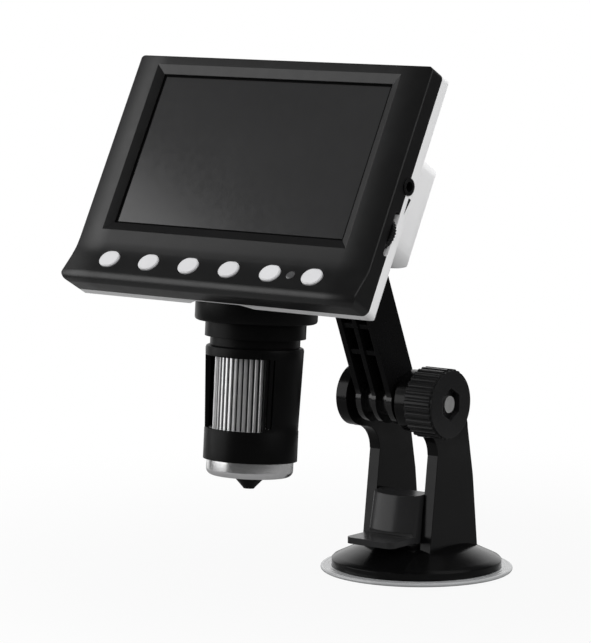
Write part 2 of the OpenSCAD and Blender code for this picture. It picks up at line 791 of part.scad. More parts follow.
module focus_wheel() {
    tooth = 360 / focus_ribs;
    wheel_h = focus_top - focus_bottom;
    rim_h = 0.5;
    color([0.8, 0.81, 0.82]) in_barrel() translate([0, 0, focus_bottom]) difference() {
        union() {
            linear_extrude(wheel_h) polygon([
                for (i = [0 : focus_ribs - 1])
                    for (p = [[-0.42, 0], [-0.34, 0.6], [-0.18, 1], [0.18, 1], [0.34, 0.6], [0.42, 0]])
                        (focus_r - rib_depth + p[1] * rib_depth)
                            * [cos((i + p[0]) * tooth), sin((i + p[0]) * tooth)]
            ]);
            // Guide rims that run inside the sleeve, above and below its windows
            for (z = [0, wheel_h - rim_h]) translate([0, 0, z]) cylinder(h = rim_h, r = sleeve_in_r - run_gap);
        }
        translate([0, 0, -1]) cylinder(h = wheel_h + 2, r = focus_bore);
    }
}

module lens_tube() {
    tube_l = 26;
    color([0.07, 0.07, 0.08]) in_barrel() translate([0, 0, focus_bottom + 0.5]) difference() {
        union() {
            cylinder(h = tube_l, r = tube_r);
            translate([0, 0, 9]) cylinder(h = 8, r = focus_bore - run_gap);
        }
        translate([0, 0, -1]) cylinder(h = 5, r = 5);
        translate([0, 0, 1.5]) cylinder(h = tube_l, r = 8);
    }
}

module objective_lens() {
    color([0.75, 0.85, 0.9]) in_barrel() translate([0, 0, focus_bottom + 2]) rotate_extrude() polygon([
        [0, 0], [7.9, 0], [7.9, 1.4], [6, 1.9], [3, 2.5], [0, 2.7]
    ]);
}

module sensor_board() {
    color([0.1, 0.35, 0.18]) in_barrel() {
        translate([0, 0, -2.6]) cylinder(h = 1.2, r = sensor_r - 0.1);
        translate([-4, -4, -3.8]) cube([8, 8, 1.2 + eps]);
        translate([-3, 5, -1.4 - eps]) cube([6, 3, 1.2 + eps]);
    }
}

module light_board() {
    color([0.9, 0.9, 0.88]) in_barrel() difference() {
        translate([0, 0, sleeve_bottom - 1.3]) cylinder(h = 1.2, r = end_ring_r - 1.3);
        translate([0, 0, sleeve_bottom - 2]) cylinder(h = 4, r = nose_r + run_gap);
    }
}

module ring_leds() {
    led_count = 8;
    color([0.95, 0.93, 0.7]) in_barrel() for (i = [0 : led_count - 1])
        rotate([0, 0, (i + 0.5) * 360 / led_count]) translate([9, 0, sleeve_bottom - 2.2])
            translate([-1, -1, 0]) cube([2, 2, 0.9]);
}

module light_diffuser() {
    color([0.85, 0.87, 0.88]) in_barrel() difference() {
        translate([0, 0, end_ring_bottom + 0.4]) cylinder(h = 1.5, r = diffuser_r);
        translate([0, 0, end_ring_bottom - 1]) cylinder(h = 4, r = nose_r + run_gap);
    }
}

module end_ring() {
    color([0.72, 0.73, 0.74]) in_barrel() rotate_extrude() difference() {
        union() {
            translate([0, end_ring_bottom + 2.2]) square([end_ring_r, end_ring_h - 2.2]);
            translate([0, end_ring_bottom]) square([end_ring_r - 2.2, 3]);
            translate([end_ring_r - 2.2, end_ring_bottom + 2.2]) circle(2.2);
        }
        translate([0, end_ring_bottom + 0.4]) square([diffuser_r, 1.5]);
        translate([0, end_ring_bottom - 1]) square([diffuser_r - 0.9, 3]);
        translate([0, end_ring_bottom + 1.9 - eps]) square([diffuser_r - 0.3, 2.4]);
        translate([0, sleeve_bottom - 1.3]) square([end_ring_r - 1.3, 3]);
    }
}

module nose_cone() {
    seat = sleeve_bottom - 0.1;
    color([0.06, 0.06, 0.07]) in_barrel() rotate_extrude() polygon([
        [1.1, nose_tip], [nose_tip_r, nose_tip], [nose_tip_r + 0.2, nose_tip + 0.3],
        [nose_r, end_ring_bottom + 0.2], [nose_r, seat], [nose_r + 0.8, seat],
        [nose_r + 0.8, seat + 1.1], [3, seat + 1.1]
    ]);
}

// ---------- arm and head bracket ----------
module arm_side() {
    circle(arm_end_r);
    translate([0, arm_l]) circle(arm_d / 2);
    translate([-arm_d / 2, 0]) square([arm_d, arm_l]);
}

module arm() {
    half = arm_w / 2;
    fork_z = arm_l - 11;
    color([0.1, 0.1, 0.11]) in_arm() difference() {
        union() {
            for (sx = [-1, 1])
                x_plate(sx > 0 ? half - arm_wall : -half, sx > 0 ? half : -half + arm_wall) arm_side();
            x_plate(-arm_rib / 2, arm_rib / 2) intersection() {
                arm_side();
                translate([-arm_end_r, -arm_end_r]) square([2 * arm_end_r, fork_z + arm_end_r]);
            }
            translate([-half, arm_d / 2 - arm_back, 0]) cube([arm_w, arm_back, fork_z]);
            for (z = [22.3 : rib_pitch : fork_z]) translate([-half + 1, -arm_d / 2 + 0.6, z - arm_rib / 2])
                cube([arm_w - 2, arm_d - 1.2, arm_rib]);
            x_rod(-cheek_in + 0.1, cheek_in - 0.1, arm_boss_r);
        }
        x_rod(-cheek_out, cheek_out, bolt_r + run_gap);
        translate([0, 0, arm_l]) x_rod(-cheek_out, cheek_out, pivot_r + run_gap);
    }
}

// The bracket's two screw holes, side by side on the hump's back
module bracket_holes(h) {
    for (x = [-1, 1]) translate([x * bracket_screw_x, -1.2, 0]) cylinder(h = h, r = 1.5);
}

module head_bracket() {
    reach = pivot_back - hump_back;
    foot = reach - bracket_t;
    color([0.1, 0.1, 0.11]) in_head() translate([0, pivot_up, -pivot_back]) difference() {
        union() {
            translate([0, -1.2, foot]) linear_extrude(bracket_t) rounded_rect(2 * bracket_screw_x + 11, 22, 5);
            x_plate(-tongue_w / 2, tongue_w / 2) {
                circle(6.8);
                polygon([[-6.8, 0], [6.8, 0], [8.5, foot + eps], [-8.5, foot + eps]]);
            }
        }
        x_rod(-10, 10, pivot_r + run_gap);
        translate([0, 0, reach - 6]) bracket_holes(10);
    }
}

module bracket_screws() {
    foot = pivot_back - hump_back - bracket_t;
    color([0.6, 0.6, 0.62]) in_head() translate([0, pivot_up, -pivot_back])
        for (x = [-1, 1]) translate([x * bracket_screw_x, -1.2, 0]) {
            translate([0, 0, foot - 0.5]) cylinder(h = 6, r = 1.5);
            difference() {
                translate([0, 0, foot - 1.6]) cylinder(h = 1.6, r = 2.8);
                for (a = [0, 90]) rotate([0, 0, a]) translate([-1.6, -0.35, foot - 2.6]) cube([3.2, 0.7, 1.9]);
            }
        }
}

module pivot_screw() {
    half = arm_w / 2;
    color([0.65, 0.65, 0.67]) in_arm() translate([0, 0, arm_l]) {
        x_rod(-half - 4.5, half + 1, pivot_r);
        difference() {
            x_rod(half, half + 2.4, 3.6);
            translate([half + 1.2, -2.6, -0.4]) cube([2, 5.2, 0.8]);
        }
    }
}

module pivot_nut() {
    half = arm_w / 2;
    color([0.65, 0.65, 0.67]) in_arm() translate([0, 0, arm_l]) difference() {
        x_hex(-half - 3.2, -half, 7);
        x_rod(-half - 5, 0, pivot_r);
    }
}

// ---------- clamp ----------
module at_hinge() { translate([0, -hinge_y, hinge_z]) children(); }

module clamp_bolt() {
    color([0.75, 0.75, 0.76]) at_hinge() {
        x_rod(-cheek_out, bolt_end, bolt_r);
        x_hex(-cheek_out - 1.5, -cheek_out + head_sink, hex_flats);
    }
}

module clamp_washer() {
    color([0.7, 0.7, 0.72]) at_hinge() difference() {
        x_rod(cheek_out, knob_in - 0.05, 8);
        x_rod(0, knob_in + 1, bolt_r + run_gap);
    }
}

module clamp_knob() {
    flute_r = 0.85;
    color([0.1, 0.1, 0.11]) at_hinge() difference() {
        union() {
            translate([knob_in, 0, 0]) rotate([90, 0, 90]) linear_extrude(knob_l - 0.8) difference() {
                circle(knob_r);
                for (i = [0 : knob_flutes - 1]) rotate(i * 360 / knob_flutes)
                    translate([knob_r + 0.35, 0]) circle(flute_r, $fn = 24);
            }
            x_rod(knob_in + 1, knob_out, knob_r - 0.6);
        }
        x_rod(knob_in - 1, knob_out + 1, bolt_r + run_gap);
        x_hex(knob_out - nut_t - 2, knob_out + 1, hex_flats + 0.2);
    }
}

module clamp_nut() {
    color([0.75, 0.75, 0.76]) at_hinge() difference() {
        x_hex(knob_out - nut_t - 2, knob_out - 2, hex_flats);
        x_rod(0, knob_out, bolt_r + run_gap);
    }
}

// ---------- stand ----------
// Unit normal of the outer tangent to two circles, on the upper side
function tangent_dir(c1, r1, c2, r2) =
    let (d = c2 - c1, a = atan2(d[1], d[0]) + acos((r1 - r2) / norm(d))) [cos(a), sin(a)];

// Side view of one cheek: ear, swept neck and foot
module cheek_side() {
    n = tangent_dir(ear_c, ear_r, shoulder_c, shoulder_r);
    neck_y = ear_c[0] + sweep_r + 0.2;
    sweep_c = [ear_c[0], ear_c[1] - ear_r - sweep_r - 0.3];
    difference() {
        union() {
            translate(ear_c) circle(ear_r);
            translate(shoulder_c) circle(shoulder_r);
            polygon([
                ear_c, ear_c + ear_r * n, shoulder_c + shoulder_r * n, shoulder_c,
                shoulder_c + [shoulder_r, 0], [13.6, 34], [16.8, 7], [16.8, 5],
                [-13.4, 5], [-13, 7], [neck_y, sweep_c[1]], [ear_c[0], sweep_c[1]]
            ]);
        }
        translate(sweep_c) circle(sweep_r);
        translate([sweep_c[0] - 2 * sweep_r, sweep_c[1] - 2 * sweep_r]) square([2 * sweep_r, 2 * sweep_r + 4]);
    }
}

module stand_body() {
    color([0.1, 0.1, 0.11]) {
        difference() {
            union() {
                rotate_extrude() polygon([
                    [0, flange_z], [flange_r, flange_z], [flange_r, flange_z + flange_h - 0.4],
                    [flange_r - 0.4, flange_z + flange_h], [24.6, 6.9], [20, 8.9], [16, floor_z], [0, floor_z]
                ]);
                for (sx = [-1, 1])
                    x_plate(sx > 0 ? cheek_in : -cheek_out, sx > 0 ? cheek_out : -cheek_in) cheek_side();
            }
            // Hollow over the pad and the plunger's hole
            rotate_extrude() polygon([
                [0, 0], [28.2, 0], [28.2, pad_edge + 1.2], [18, pad_top + 0.4],
                [plunger_r + 0.6, roof_z], [0, roof_z]
            ]);
            cylinder(h = 30, r = stem_r + face_gap);
            at_hinge() {
                x_rod(-30, 30, bolt_r + run_gap);
                x_hex(-30, -cheek_out + head_sink, hex_flats + 0.2);
            }
        }
    }
}

module suction_pad() {
    dish_r = 17;
    color([0.88, 0.9, 0.9, 0.6]) rotate_extrude() polygon([
        [0, pad_lift], [9, pad_lift - 0.3], [dish_r, 0], [pad_r - 0.5, 0], [pad_r, 0.5],
        [pad_r, pad_edge - 0.3], [pad_r - 0.5, pad_edge], [27.9, pad_edge], [27.9, pad_edge + 0.9],
        [17.6, pad_top], [0, pad_top]
    ]);
}

module plunger() {
    color([0.7, 0.7, 0.72]) difference() {
        union() {
            translate([0, 0, plunger_z]) cylinder(h = plunger_t, r = plunger_r);
            translate([0, 0, plunger_z]) cylinder(h = pin_z + 3.4 - plunger_z, r = stem_r);
        }
        translate([0, 0, pin_z]) x_rod(-10, 10, pin_r);
    }
}

module lever_pin() {
    color([0.7, 0.7, 0.72]) translate([0, 0, pin_z]) x_rod(-lever_w / 2 + 0.2, lever_w / 2 - 0.2, pin_r);
}

// Side view of the lever's cheeks: front, pin eye and a cam that keeps the same gap to the
// stand's floor while the plunger sinks
module lever_side() {
    fall = pad_lift / lever_swing;
    sweep = fall * 180 / PI;
    polygon([
        for (a = [0 : 8 : 80]) [0, pin_z] + (cam_r - fall * a) * [sin(a), -cos(a)] - sweep * [cos(a), sin(a)],
        [0, pin_z] + (cam_r - pad_lift) * [1, 0.1],
        [3.2, pin_z + 3.8], [-6.5, lever_top + 0.8], [-12.5, lever_top + 0.4], [-21, lever_top - 0.5],
        [-21, 12.4], [-9, 12.2], [-7, pin_z - 4.5]
    ]);
}

// The lever's plan: a curved front that turns through round corners into straight sides
module lever_plan() {
    half = lever_w / 2;
    corner = 3;
    corner_x = half - corner;
    corner_y = sqrt(pow(lever_round - corner, 2) - pow(corner_x, 2));
    touch_x = corner_x * lever_round / (lever_round - corner);
    intersection() {
        circle(lever_round);
        translate([-touch_x, -2 * lever_round]) square([2 * touch_x, 4 * lever_round]);
    }
    for (sx = [-1, 1]) translate([sx * corner_x, -corner_y]) circle(corner);
    translate([-half, -corner_y]) square([lever_w, 2 * lever_round]);
}

module lock_lever() {
    half = lever_w / 2;
    tab_z = 12.5;
    tab_t = 2.3;
    color([0.13, 0.13, 0.14]) difference() {
        union() {
            intersection() {
                difference() {
                    x_plate(-half, half) lever_side();
                    // Hollow between the lever's cheeks, behind its front wall
                    x_plate(-half + lever_wall, half - lever_wall) polygon([
                        [-lever_front + 5.4, 0], [-lever_front + 5.4, 18],
                        [-lever_front + 7, lever_top - lever_wall],
                        [20, lever_top - lever_wall], [20, 0]
                    ]);
                    // Finger groove between the front face and the thumb tab
                    translate([-lever_w, -lever_front - 10, tab_z + tab_t]) cube([2 * lever_w, 12.4, 1.4]);
                }
                translate([0, -lever_front, pin_z]) rotate([-front_lean, 0, 0])
                    translate([0, lever_round, -40]) linear_extrude(90) lever_plan();
            }
            // Thumb tab
            translate([0, -lever_front + 5.4 - tab_l / 2, tab_z]) linear_extrude(tab_t)
                rounded_rect(lever_w, tab_l, 2.4);
        }
        translate([0, 0, pin_z]) x_rod(-half - 1, half + 1, pin_r + run_gap);
    }
}

stand_body();
suction_pad();
clamp_bolt();
clamp_washer();
plunger();
lever_pin();
lock_lever();
clamp_knob();
clamp_nut();
arm();
pivot_screw();
pivot_nut();
head_bracket();
bracket_screws();
front_casing();
rear_casing();
screen_glass();
lcd_panel();
main_board();
key_board();
battery_cell();
case_screws();
power_jack();
indicator_light();
dimmer_wheel();
button_power();
button_menu();
button_up();
button_ok();
button_down();
button_snap();
barrel_collar();
barrel_sleeve();
focus_wheel();
lens_tube();
objective_lens();
sensor_board();
light_board();
ring_leds();
light_diffuser();
end_ring();
nose_cone();
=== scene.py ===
# %% [markdown]
# # A display microscope on a suction stand
# We dress a finished mechanical model for a picture: a microscope with its own tilted display, a focus
# barrel under it, a ribbed arm and a suction foot. The solids come from a CAD program, so this lesson is
# about finishes, light and the small printed and moulded details that the solids don't carry.

# %% Load the solids
import json
import math

import bmesh
import bpy
from mathutils import Matrix, Vector


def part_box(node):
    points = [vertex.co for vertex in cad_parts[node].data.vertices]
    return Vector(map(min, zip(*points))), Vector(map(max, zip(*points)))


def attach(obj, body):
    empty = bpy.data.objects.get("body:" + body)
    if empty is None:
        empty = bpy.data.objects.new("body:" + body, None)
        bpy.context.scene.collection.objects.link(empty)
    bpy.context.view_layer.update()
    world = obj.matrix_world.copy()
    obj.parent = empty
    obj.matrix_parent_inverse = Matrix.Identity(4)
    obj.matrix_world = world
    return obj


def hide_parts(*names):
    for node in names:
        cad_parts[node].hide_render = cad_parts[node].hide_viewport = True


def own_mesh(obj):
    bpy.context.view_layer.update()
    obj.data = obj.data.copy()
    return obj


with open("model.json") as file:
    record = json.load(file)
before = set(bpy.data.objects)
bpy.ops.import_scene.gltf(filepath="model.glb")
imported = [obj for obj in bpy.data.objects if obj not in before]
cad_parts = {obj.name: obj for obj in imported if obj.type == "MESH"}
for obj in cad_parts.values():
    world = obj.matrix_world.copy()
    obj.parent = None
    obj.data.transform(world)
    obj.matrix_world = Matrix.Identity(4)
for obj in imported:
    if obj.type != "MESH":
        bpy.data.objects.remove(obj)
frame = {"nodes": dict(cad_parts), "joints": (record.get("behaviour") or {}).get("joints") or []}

MM = 0.001
solids = frame["nodes"]
joints = {joint["name"]: joint for joint in frame["joints"]}
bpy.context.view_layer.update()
print("solids:", len(solids), "joints:", len(joints))

# %% [markdown]
# ## The camera
# A product picture is taken from far away with a long lens, so that parallel edges stay nearly parallel.
# We could aim a camera by eye, but a small error in angle changes every proportion. So we place it with
# the numbers that a photographer would note: where it stands, the angle round the object, the angle
# above the floor and a slight roll. The lens is 185 mm on a 36 mm sensor.

# %% Place the camera
CAMERA_PLACE = (0.68348, -0.95745, 0.23702)
ANGLE_ROUND, ANGLE_ABOVE, ROLL = 37.67, 7.14, 0.23
LENS_MM, SENSOR_MM = 185.03, 36


def aim(place, around, above, roll):
    """A camera matrix from its place, the angle round the object, the angle above the floor and its roll."""
    a, e, r = (math.radians(angle) for angle in (around, above, roll))
    right = Vector((math.cos(a), math.sin(a), 0))
    back = Vector((math.sin(a) * math.cos(e), -math.cos(a) * math.cos(e), math.sin(e)))
    up = back.cross(right)
    x = right * math.cos(r) + up * math.sin(r)
    y = up * math.cos(r) - right * math.sin(r)
    turn = Matrix((x, y, back)).transposed().to_4x4()
    return Matrix.Translation(Vector(place)) @ turn


lens = bpy.data.cameras.new("studio_camera")
lens.lens, lens.sensor_width = LENS_MM, SENSOR_MM
lens.clip_start, lens.clip_end = 0.05, 20
camera = bpy.data.objects.new("studio_camera", lens)
bpy.context.scene.collection.objects.link(camera)
camera.matrix_world = aim(CAMERA_PLACE, ANGLE_ROUND, ANGLE_ABOVE, ROLL)
bpy.context.scene.camera = camera
bpy.context.scene.view_settings.view_transform = "Standard"
print("camera at", [round(v, 3) for v in camera.location])

# %% [markdown]
# ## Smooth curves on CAD solids
# A CAD solid arrives as flat triangles. Round walls would show facets, but smoothing everything would
# round off the sharp edges too. We let two modifiers sort it out: Weld joins the loose triangles, and
# Edge Split cuts the normals again wherever two faces meet at more than a set angle. The front casing and
# the lever have long shallow bends, so they get a smaller angle.

# %% Smooth every solid by angle
WELD_REACH = 0.002 * MM
EDGE_ANGLE, SHALLOW_ANGLE = 30, 14
SHALLOW = ("front_casing", "lock_lever")


def smooth_by_angle(piece, degrees):
    """Smooth shading, except over edges that bend by more than the given angle."""
    piece.data.polygons.foreach_set("use_smooth", [True] * len(piece.data.polygons))
    weld = piece.modifiers.new("join_facets", "WELD")
    weld.merge_threshold = WELD_REACH
    split = piece.modifiers.new("keep_edges", "EDGE_SPLIT")
    split.split_angle = math.radians(degrees)
    split.use_edge_sharp = False
    piece.data.update()


for name, solid in solids.items():
    smooth_by_angle(solid, SHALLOW_ANGLE if name in SHALLOW else EDGE_ANGLE)
print("smoothed", len(solids), "solids")

# %% [markdown]
# ## A node kit for finishes
# All finishes here are procedural, so they need no pictures and fit any shape. A finish is a chain of
# nodes, and each node takes plain values or the outputs of others.

# %% Helpers for nodes
def step(tree, kind, inputs, **settings):
    """Adds a node. Each input, by name or place, is a plain value or another node's output."""
    made = tree.nodes.new("ShaderNode" + kind)
    for setting, value in settings.items():
        setattr(made, setting, value)
    for key, value in inputs.items():
        if isinstance(value, bpy.types.NodeSocket):
            tree.links.new(value, made.inputs[key])
        else:
            made.inputs[key].default_value = value
    return made


def noise(tree, where, scale, detail=4.0):
    """A cloudy value from 0 to 1. A higher scale makes smaller clouds."""
    inputs = {"Vector": where, "Scale": scale, "Detail": detail, "Roughness": 0.55}
    return step(tree, "TexNoise", inputs).outputs["Fac"]


def ramped(tree, value, start, end, low=0.0, high=1.0, interpolation="LINEAR"):
    """Maps start to end of a value onto low to high, and holds both ends."""
    inputs = {"Value": value, "From Min": start, "From Max": end, "To Min": low, "To Max": high}
    return step(tree, "MapRange", inputs, interpolation_type=interpolation).outputs["Result"]


def tone(tree, value, dark, light):
    """Turns the middle of a noise, 0.3 to 0.7, into a run from a dark to a light tone."""
    ramp = step(tree, "ValToRGB", {"Fac": value})
    first, last = ramp.color_ramp.elements
    first.position, first.color = 0.3, (*dark, 1)
    last.position, last.color = 0.7, (*light, 1)
    return ramp.outputs["Color"]


# %% [markdown]
# ## What all finishes share
# Even a plain plastic isn't one colour and one gloss: both drift a little over the surface. Every finish
# starts as this base, with two tones and a range of roughness. Object coordinates are in metres, so a
# noise scale of 4000 makes grains a quarter of a millimetre across.

# %% A finish, its grain and how a solid wears it
def new_finish(name):
    """An empty finish, with its node tree, its main shader and its coordinates in metres."""
    finish = bpy.data.materials.new(name)
    finish.use_nodes = True
    tree = finish.node_tree
    where = tree.nodes.new("ShaderNodeTexCoord").outputs["Object"]
    return finish, tree, tree.nodes["Principled BSDF"], where


def set_tones(tree, shader, where, scale, dark, light):
    """Lets the colour drift between two tones."""
    tree.links.new(tone(tree, noise(tree, where, scale), dark, light), shader.inputs["Base Color"])


def set_gloss(tree, shader, where, scale, low, high):
    """Lets the roughness drift between two values."""
    roughness = ramped(tree, noise(tree, where, scale), 0.3, 0.7, low, high)
    tree.links.new(roughness, shader.inputs["Roughness"])


def grain(tree, shader, height, depth_mm, strength):
    """A fine bump. It stands last in the chain of normals, so later bends go in before it."""
    inputs = {"Height": height, "Distance": depth_mm * MM, "Strength": strength}
    bump = step(tree, "Bump", inputs, name="Grain")
    tree.links.new(bump.outputs["Normal"], shader.inputs["Normal"])
    return bump


def dress(finish, *names):
    """Gives CAD solids, by name, one finish."""
    for name in names:
        mesh = solids[name].data
        mesh.materials.clear()
        mesh.materials.append(finish)
    print(finish.name, "on", ", ".join(names))


# %% [markdown]
# ## Moulded plastic
# Most of the microscope is injection-moulded. Such plastic takes the fine grain of a spark-eroded mould,
# and no edge of it is knife-sharp. We could bevel every edge in the mesh, but the solids must stay as
# they are. So a Bevel node bends the shading at each edge instead, as a 0.3 mm radius would. The first
# pieces to wear it are the two small fittings at the side, the power socket and the dimmer wheel.

# %% Moulded plastic
TONE_SCALE, GLOSS_SCALE = 60, 220
EDGE_RADIUS = 0.3 * MM


def moulded(name, dark, light, gloss, grain_scale=3500, grain_mm=0.02, specular=0.5):
    """Plastic from its two tones, its range of roughness, and the size and depth of its grain."""
    finish, tree, shader, where = new_finish(name)
    set_tones(tree, shader, where, TONE_SCALE, dark, light)
    set_gloss(tree, shader, where, GLOSS_SCALE, *gloss)
    bump = grain(tree, shader, noise(tree, where, grain_scale, detail=2.0), grain_mm, strength=0.5)
    edges = step(tree, "Bevel", {"Radius": EDGE_RADIUS}, samples=6, name="Soft edges")
    tree.links.new(edges.outputs["Normal"], bump.inputs["Normal"])
    shader.inputs["Specular IOR Level"].default_value = specular
    return finish


fitting_black = moulded("fitting_black", (0.003, 0.003, 0.0032), (0.005, 0.005, 0.0052),
                        gloss=(0.3, 0.4), grain_scale=3800, grain_mm=0.010, specular=0.3)
dress(fitting_black, "power_jack", "dimmer_wheel")

# %% [markdown]
# ## The black front casing
# The front casing is the smoothest black here. Its face looks darker over the last 13 mm before each side
# edge, where it turns away from the light. We could reshape the solid, but the solids must stay as they
# are. So a wide, smooth bump bends the shading there, by up to some 20 degrees, and moves no point.

# %% Casing black
BOW_REACH = 13 * MM
BOW = 16  # the slope grows by twice this for each metre past the start


def chain(tree, value, *sums):
    """Runs a value through (operation, number) sums, each a Math node."""
    for operation, number in sums:
        value = step(tree, "Math", {0: value, 1: number}, operation=operation).outputs[0]
    return value


def crown(finish, side):
    """Lets the face turn away towards both side edges, ever more steeply, over the last BOW_REACH."""
    tree = finish.node_tree
    where = tree.nodes["Texture Coordinate"].outputs["Object"]
    x = step(tree, "SeparateXYZ", {0: where}).outputs["X"]
    fall = chain(tree, x, ("ABSOLUTE", 0), ("SUBTRACT", side - BOW_REACH), ("MAXIMUM", 0), ("POWER", 2),
                 ("MULTIPLY", -BOW))
    edges = tree.nodes["Soft edges"].outputs["Normal"]
    bow = step(tree, "Bump", {"Height": fall, "Distance": 1, "Normal": edges})
    tree.links.new(bow.outputs["Normal"], tree.nodes["Grain"].inputs["Normal"])


casing_black = moulded("casing_black", (0.0028, 0.0028, 0.003), (0.0042, 0.0042, 0.0044),
                       gloss=(0.36, 0.42), grain_scale=3800, grain_mm=0.010, specular=0.48)
crown(casing_black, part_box("front_casing")[1][0])
dress(casing_black, "front_casing")

# %% [markdown]
# ## The barrel and the stand
# Both are plain black mouldings, but not the same black. The barrel is a dull technical plastic, while
# the stand is moulded in a glossier grade that shows the room. We tell them apart by roughness and by
# how much they mirror, and keep their colours alike, because that's how such plastics differ.

# %% Barrel and stand
barrel_black = moulded("barrel_black", (0.0018, 0.0018, 0.0019), (0.003, 0.003, 0.0031),
                       gloss=(0.34, 0.42), grain_scale=3000, grain_mm=0.012, specular=0.09)
dress(barrel_black, "barrel_collar", "barrel_sleeve", "lens_tube", "nose_cone")
stand_black = moulded("stand_black", (0.0018, 0.0018, 0.0019), (0.003, 0.003, 0.0031),
                      gloss=(0.16, 0.22), grain_scale=2600, grain_mm=0.006, specular=0.17)
dress(stand_black, "stand_body")

# %% [markdown]
# ## An arm that is polished at its hinge
# The arm is black and quiet, but its knuckle is rubbed bright where it turns in the clamp. We could
# split the arm into two materials, but then a hard line would show. So the finish measures how far each
# point lies from the hinge axis, and a gloss coat fades out over two millimetres.

# %% Arm
POLISHED_RADIUS, FADE = 8.5 * MM, 2 * MM


def polish(finish, axis_point):
    """Rubs a gloss coat onto what lies round a hinge axis that runs along X."""
    tree = finish.node_tree
    where = tree.nodes["Texture Coordinate"].outputs["Object"]
    beside = step(tree, "VectorMath", {0: where, 1: (0, 1, 1)}, operation="MULTIPLY").outputs["Vector"]
    axis = (0, axis_point[1], axis_point[2])
    reach = step(tree, "VectorMath", {0: beside, 1: axis}, operation="DISTANCE").outputs["Value"]
    shader = tree.nodes["Principled BSDF"]
    rubbed = ramped(tree, reach, POLISHED_RADIUS, POLISHED_RADIUS + FADE, 1, 0)
    tree.links.new(rubbed, shader.inputs["Coat Weight"])
    shader.inputs["Coat Roughness"].default_value = 0.16


arm_black = moulded("arm_black", (0.0035, 0.0035, 0.0037), (0.005, 0.005, 0.0052),
                    gloss=(0.24, 0.3), grain_scale=2600, grain_mm=0.006, specular=0.06)
polish(arm_black, joints["arm_tilt"]["pos_m"])
dress(arm_black, "arm", "head_bracket")

# %% [markdown]
# ## The knob and the lever
# These are the two parts that fingers touch, moulded in a slightly greyer black. The lever is painted a
# little lighter than the knob, as painted light: a wide flat face catches more light than a deeply ribbed
# one.

# %% Knob and lever
grip_black = moulded("grip_black", (0.0095, 0.0095, 0.0098), (0.0125, 0.0125, 0.0128),
                     gloss=(0.2, 0.26), grain_scale=2600, grain_mm=0.006, specular=0.18)
dress(grip_black, "clamp_knob")
# The lever's extra lightness is painted light, standing in for how its flat face catches the lamps.
lever_black_painted_light = moulded("lever_black_painted_light", (0.017, 0.017, 0.0175), (0.021, 0.021, 0.0215),
                      gloss=(0.2, 0.26), grain_scale=2600, grain_mm=0.006, specular=0.2)
dress(lever_black_painted_light, "lock_lever")

# %% [markdown]
# ## White casing and grey buttons
# The rear casing is plain white plastic with a soft gloss, and the buttons are a pale grey so that they
# stand out on black. A pure white is tempting, but 0.9 is as light as real plastic gets, and brighter
# would clip in the light.

# %% White plastic and buttons
casing_white = moulded("casing_white", (0.86, 0.86, 0.865), (0.9, 0.9, 0.905), (0.3, 0.4), 3500, 0.01)
dress(casing_white, "rear_casing")
button_grey = moulded("button_grey", (0.58, 0.58, 0.59), (0.64, 0.64, 0.65), (0.3, 0.4), 3500, 0.006)
dress(button_grey, *[name for name in solids if name.startswith("button_")])

# %% [markdown]
# ## Metal trim
# Four sorts of metal show: a satin aluminium ring at the end of the barrel, a nickel bolt, plain steel
# screws and a dark nut. Metal is mostly reflection, so its colour is set by the room and its character by
# roughness. The noise stays fine and shallow, because coarse bumps would make a machined ring look cast.

# %% Metals
def metal(name, dark, light, gloss, scale=900, depth_mm=0.004):
    """Metal from its two tones, its range of roughness, and the scale and depth of its machining marks."""
    finish, tree, shader, where = new_finish(name)
    set_tones(tree, shader, where, scale, dark, light)
    set_gloss(tree, shader, where, scale * 1.7, *gloss)
    grain(tree, shader, noise(tree, where, scale * 2), depth_mm, strength=0.4)
    shader.inputs["Metallic"].default_value = 1.0
    return finish


ring_silver = metal("ring_silver", (0.78, 0.78, 0.785), (0.84, 0.84, 0.845), (0.19, 0.25), 700, 0.001)
bolt_nickel = metal("bolt_nickel", (0.74, 0.74, 0.74), (0.84, 0.84, 0.83), (0.34, 0.42), 300, 0.001)
screw_steel = metal("screw_steel", (0.28, 0.28, 0.29), (0.36, 0.36, 0.37), (0.25, 0.4))
nut_dark = metal("nut_dark", (0.04, 0.04, 0.042), (0.06, 0.06, 0.062), (0.25, 0.35), 300, 0.001)
dress(ring_silver, "end_ring")
dress(bolt_nickel, "clamp_bolt", "lever_pin", "plunger")
dress(screw_steel, "clamp_washer", "pivot_screw", "pivot_nut", "bracket_screws", "case_screws")
dress(nut_dark, "clamp_nut")

# %% [markdown]
# ## A knurled wheel with painted shade in its grooves
# The focus wheel is bright plated plastic with lengthwise ribs. Light reaches the crests and hardly the
# grooves, so the grooves get painted shade. The finish reads how far each point lies from the barrel's axis,
# and runs from painted shade to bright over the half millimetre between groove and crest. A painted stripe
# pattern could drift off the ribs, but this can't, because it follows the solid itself.

# %% Focus wheel finish
GROOVE_RADIUS, CREST_RADIUS = 12.65 * MM, 13.15 * MM
barrel_axis = joints["focus_turn"]["axis"]
barrel_tilt = math.atan2(barrel_axis[1], barrel_axis[2])
low, high = (Vector(corner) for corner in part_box("focus_wheel"))
wheel_silver, tree, shader, where = new_finish("wheel_silver")
along_barrel = step(tree, "Mapping", {"Vector": where, "Location": (low + high) / 2,
                                      "Rotation": (-barrel_tilt, 0, 0)}, vector_type="TEXTURE")
parts = step(tree, "SeparateXYZ", {0: along_barrel.outputs["Vector"]}).outputs
across = step(tree, "CombineXYZ", {"X": parts["X"], "Y": parts["Y"]}).outputs[0]
reach = step(tree, "VectorMath", {0: across}, operation="LENGTH").outputs["Value"]
crest = ramped(tree, reach, GROOVE_RADIUS, CREST_RADIUS)
bright = tone(tree, noise(tree, where, scale=300), (0.66, 0.66, 0.665), (0.74, 0.74, 0.745))
